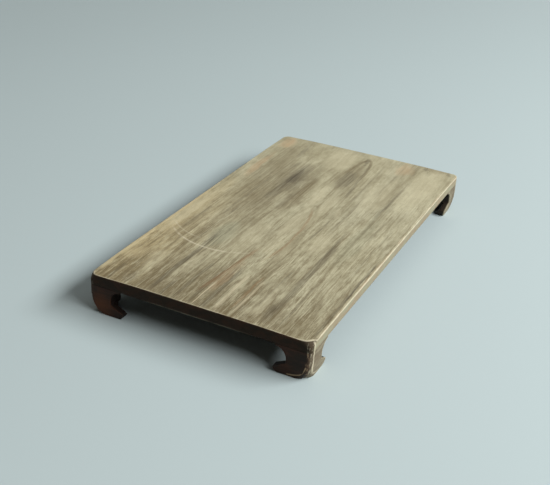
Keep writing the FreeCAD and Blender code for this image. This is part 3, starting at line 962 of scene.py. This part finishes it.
def finish_piece(bm, name, material, nodes, place_matrix):
    """Merge a mesh's doubles, bring it from millimetres to its place, and let it stand for its CAD nodes."""
    bmesh.ops.remove_doubles(bm, verts=bm.verts[:], dist=MERGE_DISTANCE)
    bmesh.ops.transform(bm, matrix=Matrix.Scale(MM, 4) @ place_matrix, verts=bm.verts[:])
    bmesh.ops.recalc_face_normals(bm, faces=bm.faces[:])
    piece = to_object(bm, name)
    piece.data.shade_smooth()
    piece.data.set_sharp_from_angle(angle=SHARP_ANGLE)
    piece.data.materials.append(material)
    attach(piece, "root")
    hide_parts(*nodes)
    print(name, len(piece.data.polygons), "faces")
    return piece


print("mesh steps ready")

# %% Plank wear
CORNER_RADIUS = 7.0
# How round each corner is at the top, by its side along X and Y
WORN_CORNER = {(-1, -1): 21.0, (1, -1): 8.0, (1, 1): 10.0, (-1, 1): 15.0}
WORN_DEPTH = 9.0
WORN_CURVE = 1.5
CORNER_DROOP = 1.3
DROOP_REACH = 45.0
# The bare line on each side and round a corner: how far in from the edge, how far down, and its half width
BARE_LINE = {
    "left": Vector((2.1, 0.0, 0.65)), "right": Vector((0.7, 0.7, 0.7)),
    "front": Vector((0.0, 2.0, 1.6)), "back": Vector((0.6, 0.8, 0.8)),
}
CORNER_BARE = Vector((1.1, 0.5, 1.25))


def unworn_reach(way, radius):
    """How far the unworn outline lies from the middle of a worn corner, in one direction."""
    straight = radius / max(way)
    inner = radius - CORNER_RADIUS
    if straight * min(way) <= inner:
        return straight
    both = inner * (way.x + way.y)
    return both + math.sqrt(both ** 2 - 2 * inner ** 2 + CORNER_RADIUS ** 2)


def wear_plank(vert, layer):
    """Draw a vertex of the plank in to the worn outline and note how far it is from the top arris."""
    x, y, z = vert.co
    knock = max(0.0, min(1.0, (z - (TOP - WORN_DEPTH)) / WORN_DEPTH))
    worn_radius = WORN_CORNER[(-1 if x < 0 else 1, -1 if y < 0 else 1)]
    radius = CORNER_RADIUS + (worn_radius - CORNER_RADIUS) * knock ** WORN_CURVE
    inner_x = HALF_LENGTH - radius
    inner_y = HALF_WIDTH - radius
    over = Vector((max(abs(x) - inner_x, 0.0), max(abs(y) - inner_y, 0.0)))
    if over.x > 0 and over.y > 0:
        over *= radius / unworn_reach(over.normalized(), radius)
        x = math.copysign(inner_x + over.x, x)
        y = math.copysign(inner_y + over.y, y)
    from_end = HALF_LENGTH - abs(x)
    from_side = HALF_WIDTH - abs(y)
    edge = radius - over.length if over.length > 0 else min(from_end, from_side)
    turn = over.normalized() if over.length > 0 else Vector((1, 0) if from_side > from_end else (0, 1))
    line = (turn.x ** 2 * BARE_LINE["left" if x < 0 else "right"]
            + turn.y ** 2 * BARE_LINE["front" if y < 0 else "back"])
    inwards, down, half = line.lerp(CORNER_BARE, 4 * (turn.x * turn.y) ** 2)
    vert[layer] = math.hypot(edge - inwards, TOP - z - down) / half
    corner = math.hypot(from_end, from_side)
    droop = CORNER_DROOP * math.exp(-(corner / DROOP_REACH) ** 2) * knock
    vert.co = (x, y, z - droop)


print("corners worn to", WORN_CORNER)

# %% Plank shape
CORNER_SEGMENTS = 8
# Each arris: its offset and segments
TOP_ARRIS = (2.0, 6)
LOWER_ARRIS = (0.8, 2)
# Where the plank is cut: depths below the top, and distances in from each edge
DEPTH_CUTS = (3.2, 4.6, 6.2, 8.0, 10.0)
RIM_CUTS = (2.6, 3.4, 4.5, 6.5, 9.0, 12.0, 16.0)
LENGTH_STRIPS = 40
WIDTH_STRIPS = 22


def level_edges(bm, height):
    """List the edges that lie at one height."""
    return [edge for edge in bm.edges if all(abs(vert.co.z - height) < EDGE_MARGIN for vert in edge.verts)]


def make_plank():
    """Model the plank, in millimetres."""
    bm = bmesh.new()
    outline = [(-1, -1), (1, -1), (1, 1), (-1, 1)]
    bm.faces.new([bm.verts.new((x * HALF_LENGTH, y * HALF_WIDTH, FOOT_HEIGHT)) for x, y in outline])
    bevel(bm, bm.verts[:], CORNER_RADIUS, CORNER_SEGMENTS, "VERTICES")
    extrude(bm, bm.faces[:], (0, 0, TOP - FOOT_HEIGHT))
    bevel(bm, level_edges(bm, TOP), *TOP_ARRIS)
    bevel(bm, level_edges(bm, FOOT_HEIGHT), *LOWER_ARRIS)
    slice_across(bm, 2, [TOP - depth for depth in DEPTH_CUTS])
    for axis, half, count in ((0, HALF_LENGTH, LENGTH_STRIPS), (1, HALF_WIDTH, WIDTH_STRIPS)):
        inner = half - RIM_CUTS[-1]
        middle = [-inner + 2 * inner * step / count for step in range(1, count)]
        rims = [half - edge for edge in RIM_CUTS]
        slice_across(bm, axis, middle + rims + [-rim for rim in rims])
    layer = bm.verts.layers.float.new("from_arris")
    for vert in bm.verts:
        wear_plank(vert, layer)
    return finish_piece(bm, "plank", weathered_plank, ["top_board"], Matrix())


plank = make_plank()

# %% [markdown]
# The battens slide into the plank from the back, so their dovetail ends show in its back edge. A Boolean modifier is
# the simplest way to cut those two openings. Its result is taken over as the plank's own mesh, and the cutter is
# removed. The cutter carries the wear attribute too, set far from any arris, so that the fresh cut isn't painted as
# worn.

# %% Groove ends
GROOVE_MOUTH = 18.4
GROOVE_CROWN = 22.4
GROOVE_DEPTH = 6.2
GROOVE_START = 118.0
# How far the cutter stands out below the plank and behind it
CUT_BELOW = 1
CUT_BEHIND = 2
FAR_FROM_ARRIS = 99.0


def make_cutter(middle):
    """Model the space of one groove's open end, in metres."""
    mouth, crown = GROOVE_MOUTH / 2, GROOVE_CROWN / 2
    low, high = FOOT_HEIGHT - CUT_BELOW, FOOT_HEIGHT + GROOVE_DEPTH
    profile = [(-mouth, low), (mouth, low), (mouth, FOOT_HEIGHT), (crown, high), (-crown, high), (-mouth, FOOT_HEIGHT)]
    bm = bmesh.new()
    bm.faces.new([bm.verts.new((middle + x, GROOVE_START, z)) for x, z in profile])
    extrude(bm, bm.faces[:], (0, HALF_WIDTH + CUT_BEHIND - GROOVE_START, 0))
    layer = bm.verts.layers.float.new("from_arris")
    for vert in bm.verts:
        vert[layer] = FAR_FROM_ARRIS
    bmesh.ops.transform(bm, matrix=Matrix.Scale(MM, 4), verts=bm.verts[:])
    return to_object(bm, "groove_cutter")


for batten in ("left_batten", "right_batten"):
    batten_low, batten_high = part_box(batten)
    cutter = make_cutter((batten_low.x + batten_high.x) / 2 / MM)
    cut = plank.modifiers.new("groove", "BOOLEAN")
    cut.object = cutter
    cut.operation = "DIFFERENCE"
    cut.solver = "EXACT"
    shape = plank.evaluated_get(bpy.context.evaluated_depsgraph_get())
    carved = bpy.data.meshes.new_from_object(shape)
    plank.modifiers.clear()
    plank.data = carved
    carved.name = "plank"
    bpy.data.objects.remove(cutter)
    print("groove for", batten, "leaves", len(carved.polygons), "faces")

# %% [markdown]
# A bracket is drawn as one flat outline, with vertex bevels for the arch and the rounded nose of the toe. It is
# extruded to its thickness, its arrises are softened, planes cut it into a fine mesh, and one slanted plane makes the
# mitre. Then the hand tools follow: the toe is pared thin from inside, the corner is rounded, the face is drawn in
# towards the floor, and the heel is carved away under the corner. The last three move a vertex by a share of its depth,
# so that the inner face stays put.

# %% Bracket sizes
THICKNESS = 16.5
LEG_WIDTH = 31.0
ARCH_RADIUS = 14.0
ARCH_RAIL = 2.0
ARCH_TOP = FOOT_HEIGHT - ARCH_RAIL
ARCH_TAIL = 0.2
ARCH_END = LEG_WIDTH + ARCH_RADIUS + ARCH_TAIL
TOE_TOP = 17.5
TOE_TIP = 9.0
TOE_REACH = 47.5
TOE_THICKNESS = 9.0
TOE_STEP = 0.8
PARED_ABOVE_TOE = 2.0
NOSE_RADIUS = 7.0
TIP_RADIUS = 1.2
TOE_ROOT_RADIUS = 1.5
BELLY_HEIGHT = 24.0
BELLY_INSET = 3.0
HEEL_HEIGHT = 26.0
HEEL_REACH = 14.0
HEEL_RADIUS = 34.0
HEEL_START = CORNER_RADIUS * (math.sqrt(2) - 1)
SOFT_HEEL = 3.0
# Above the heel the carving lies this far outside the corner, so it takes nothing off
UNCARVED = -10.0
print("bracket", TOE_REACH, "mm along the floor")


# %% Carving moves
def belly(height):
    """How far the face is drawn in at a height."""
    if height >= BELLY_HEIGHT:
        return 0.0
    radius = (BELLY_HEIGHT ** 2 + BELLY_INSET ** 2) / (2 * BELLY_INSET)
    return radius - math.sqrt(radius ** 2 - (BELLY_HEIGHT - height) ** 2)


def heel(height):
    """How far from the square corner, along the mitre, the carved heel lies at a height."""
    if height >= HEEL_HEIGHT:
        return UNCARVED
    low = Vector((HEEL_REACH, 0))
    high = Vector((HEEL_START, HEEL_HEIGHT))
    chord = high - low
    inward = Vector((chord.y, -chord.x)).normalized()
    centre = (low + high) / 2 + inward * math.sqrt(HEEL_RADIUS ** 2 - chord.length_squared / 4)
    return centre.x - math.sqrt(HEEL_RADIUS ** 2 - (height - centre.y) ** 2)


def soft_max(first, second, blur):
    """The larger of two values, with the change from one to the other rounded off."""
    share = max(blur - abs(first - second), 0.0) / blur
    return max(first, second) + share * share * blur / 4


def pare_toe(along, depth, height):
    """Bring the inside of the toe out, so that the toe is thin at its top and whole at the floor."""
    if along <= LEG_WIDTH or height > TOE_TOP + PARED_ABOVE_TOE:
        return depth
    top = TOE_TOP + (TOE_TIP - TOE_TOP) * (along - LEG_WIDTH) / (TOE_REACH - LEG_WIDTH)
    share = min(1.0, height / top) * min(1.0, (along - LEG_WIDTH) / TOE_STEP)
    return depth * (1 - share * (1 - TOE_THICKNESS / THICKNESS))


def carve(spot):
    """Move one point of a bracket: along it, into its thickness and up."""
    along, depth, height = spot
    centre = CORNER_RADIUS
    out = Vector((min(along - centre, 0.0), min(depth - centre, 0.0)))
    rounded = along < centre and depth < centre
    if rounded and out.length > CORNER_RADIUS:
        out = out.normalized() * CORNER_RADIUS
    inset = belly(height)
    if rounded:
        share = 1 - (CORNER_RADIUS - out.length) / THICKNESS
        out = out.normalized() * (out.length - inset * share) if out.length > 1e-6 else out
        along = centre + out.x
        depth = centre + out.y
    else:
        depth += inset * (1 - depth / THICKNESS)
    root = math.sqrt(0.5)
    mitre = (along + depth) * root
    aside = (along - depth) * root
    face = aside + inset / root
    if aside < CORNER_RADIUS * root:
        face = max(face, CORNER_RADIUS / root - math.sqrt(max((CORNER_RADIUS - inset) ** 2 - aside ** 2, 0.0)))
    back = aside + THICKNESS / root
    carved = soft_max(face, heel(height), SOFT_HEEL)
    share = (mitre - face) / (back - face)
    mitre = carved + share * (back - carved)
    return Vector(((mitre + aside) * root, (mitre - aside) * root, height))


print("belly at the floor", belly(0.0), "mm, heel at the floor", round(heel(0.0), 2), "mm")

# %% Bracket outline
# Each arris of a bracket: its depth, offset and segments
ARRISES = ((0.0, 1.3, 3), (THICKNESS, 0.7, 2))
# Where a bracket is cut: along it, into its thickness and up
LENGTH_CUTS = [0.9 * step + 0.4 for step in range(1, 35)] + [31.8, 34.0, 36.0, 38.0, 40.0, 42.0, 44.0]
THICKNESS_CUTS = [3.0, 6.0, 9.0, 12.5]
HEIGHT_CUTS = [0.95 * step + 1.5 for step in range(0, 40)]


def draw_bracket(bm):
    """Draw a bracket's face, round its arch and nose, and list its outline from heel to arch."""
    corners = [(0, 0), (TOE_REACH, 0), (TOE_REACH, TOE_TIP), (LEG_WIDTH, TOE_TOP), (LEG_WIDTH, ARCH_TOP),
               (ARCH_END, ARCH_TOP), (ARCH_END, FOOT_HEIGHT), (0, FOOT_HEIGHT)]
    verts = [bm.verts.new((along, 0, height)) for along, height in corners]
    bm.faces.new(verts)
    rounds = ((NOSE_RADIUS, 6), (TIP_RADIUS, 3), (TOE_ROOT_RADIUS, 3), (ARCH_RADIUS, 10))
    for vert, (radius, segments) in zip(verts[1:5], rounds):
        bevel(bm, [vert], radius, segments, "VERTICES")
    bm.faces.ensure_lookup_table()
    loop = [Vector((vert.co.x, vert.co.z)) for vert in bm.faces[0].verts]
    start = min(range(len(loop)), key=lambda number: loop[number].length)
    loop = loop[start:] + loop[:start]
    if loop[1].y > loop[-1].y:
        loop = [loop[0]] + loop[:0:-1]
    return loop[:-2]


def cut_bracket(bm):
    """Soften a bracket's arrises, cut it into a fine mesh and cut its mitre."""
    for depth, radius, segments in ARRISES:
        rim = []
        for edge in bm.edges:
            flat = all(abs(vert.co.y - depth) < EDGE_MARGIN for vert in edge.verts)
            at_top = all(vert.co.z > FOOT_HEIGHT - EDGE_MARGIN for vert in edge.verts)
            at_mitre = all(vert.co.x < EDGE_MARGIN for vert in edge.verts)
            if flat and not at_top and not at_mitre:
                rim.append(edge)
        bevel(bm, rim, radius, segments)
    slice_across(bm, 0, LENGTH_CUTS)
    slice_across(bm, 2, HEIGHT_CUTS)
    slice_across(bm, 1, THICKNESS_CUTS)
    mitre = bmesh.ops.bisect_plane(bm, geom=everything(bm), dist=CUT_MARGIN, plane_co=(0, 0, 0),
                                   plane_no=(-1, 1, 0), clear_outer=True)
    bmesh.ops.holes_fill(bm, edges=[item for item in mitre["geom_cut"] if isinstance(item, bmesh.types.BMEdge)])


print("bracket cut", len(LENGTH_CUTS), "times along and", len(HEIGHT_CUTS), "times up")

# %% Bracket wear
# The bare line above the heel, along the bracket and up, and the half width of the worn arrises
HEEL_LINE = [Vector(point) for point in ((29, 3.0), (22, 4.2), (14.5, 6.8), (9.5, 10.5), (7.5, 16), (6.0, 20))]
ARRIS_HALF = 0.8
HEEL_LINE_DEPTH = 1.0
# How much the depth counts in the distance from the mitre
MITRE_SLANT = 1.2
# The waver of the hand that carved it, and how far apart its ups and downs lie
HAND_WAVER = 0.25
WAVER_LENGTH = 14
SEED_STEP = 7.3
# Blender's noise vectors start from the clock unless they get a seed, so this one gives the same waver in every run
WAVER_SEED = 5
noise.seed_set(WAVER_SEED)
# The waver dies away below the plank, and into the thickness at the floor
STILL_HEIGHT = 6
STILL_DEPTH = 3
FLOOR_BAND = 0.5


def from_path(path, along, height):
    """The distance from a point of the face to a path drawn on it."""
    best = 1e9
    point = Vector((along, height))
    for start, end in zip(path, path[1:]):
        side = end - start
        share = max(0.0, min(1.0, (point - start).dot(side) / side.length_squared))
        best = min(best, (point - start - side * share).length)
    return best


def wear_bracket(bm, outline, lengthwise, seed, heel_half):
    """Note for each vertex how far it is from the worn places, then carve it by hand."""
    arris_layer = bm.verts.layers.float.new("from_arris")
    mitre_layer = bm.verts.layers.float.new("from_mitre")
    face_layer = bm.verts.layers.float.new("from_face")
    for vert in bm.verts:
        along, depth, height = vert.co
        depth = pare_toe(along, depth, height)
        vert[mitre_layer] = along + MITRE_SLANT * depth
        vert[face_layer] = depth
        worn = math.hypot(from_path(HEEL_LINE, along, height), max(depth - HEEL_LINE_DEPTH, 0.0)) / heel_half
        if lengthwise:
            worn = min(worn, math.hypot(from_path(outline, along, height), depth) / ARRIS_HALF)
        vert[arris_layer] = worn
        point = Vector((along, depth, height))
        waver = noise.noise_vector(point / WAVER_LENGTH + Vector((seed * SEED_STEP, 0, 0))) * HAND_WAVER
        at_floor = depth / STILL_DEPTH if height < FLOOR_BAND else 1.0
        held = min(1.0, (FOOT_HEIGHT - height) / STILL_HEIGHT, at_floor)
        moved = carve((along, depth, height)) + Vector((waver.x, waver.y, 0.0)) * held
        vert.co = (max(moved.x, 0.0), max(moved.y, 0.0), moved.z)


print("bare line of", len(HEEL_LINE), "points above each heel")


# %% Bracket shape
def make_bracket(name, node, material, side_x, side_y, lengthwise, seed, heel_half):
    """Model one bracket, in millimetres from its corner, and stand it in its place."""
    bm = bmesh.new()
    outline = draw_bracket(bm)
    extrude(bm, bm.faces[:], (0, THICKNESS, 0))
    cut_bracket(bm)
    wear_bracket(bm, outline, lengthwise, seed, heel_half)
    along_x = Vector((-side_x, 0, 0))
    along_y = Vector((0, -side_y, 0))
    ways = (along_x, along_y) if lengthwise else (along_y, along_x)
    turn = Matrix((*ways, (0, 0, 1))).transposed().to_4x4()
    corner = Matrix.Translation((side_x * HALF_LENGTH, side_y * HALF_WIDTH, 0))
    return finish_piece(bm, name, material, [node], corner @ turn)


print("brackets can be made")

# %% [markdown]
# Each of the four feet is two brackets that meet at the corner, one along the side and one across the end. One function
# makes all eight: it turns the bracket to its corner, and a number of its own gives it its own waver. The feet are not
# worn alike, so each says how wide the bare line above its heel is.

# %% All eight brackets
# Each foot: its name, its corner, and the half widths of the bare line above its heel, on the side and on the end
FEET = [
    ("front_left", -1, -1, 1.2, 1.2),
    ("front_right", 1, -1, 0.5, 0.8),
    ("back_right", 1, 1, 0.3, 0.9),
    ("back_left", -1, 1, 0.3, 0.2),
]
for number, (foot, side_x, side_y, side_heel, end_heel) in enumerate(FEET):
    seed = 2 * number
    make_bracket(f"{foot}_side_foot", f"{foot}_side_bracket", foot_side_wood, side_x, side_y, True, seed, side_heel)
    make_bracket(f"{foot}_end_foot", f"{foot}_end_bracket", foot_end_wood, side_x, side_y, False, seed + 1, end_heel)
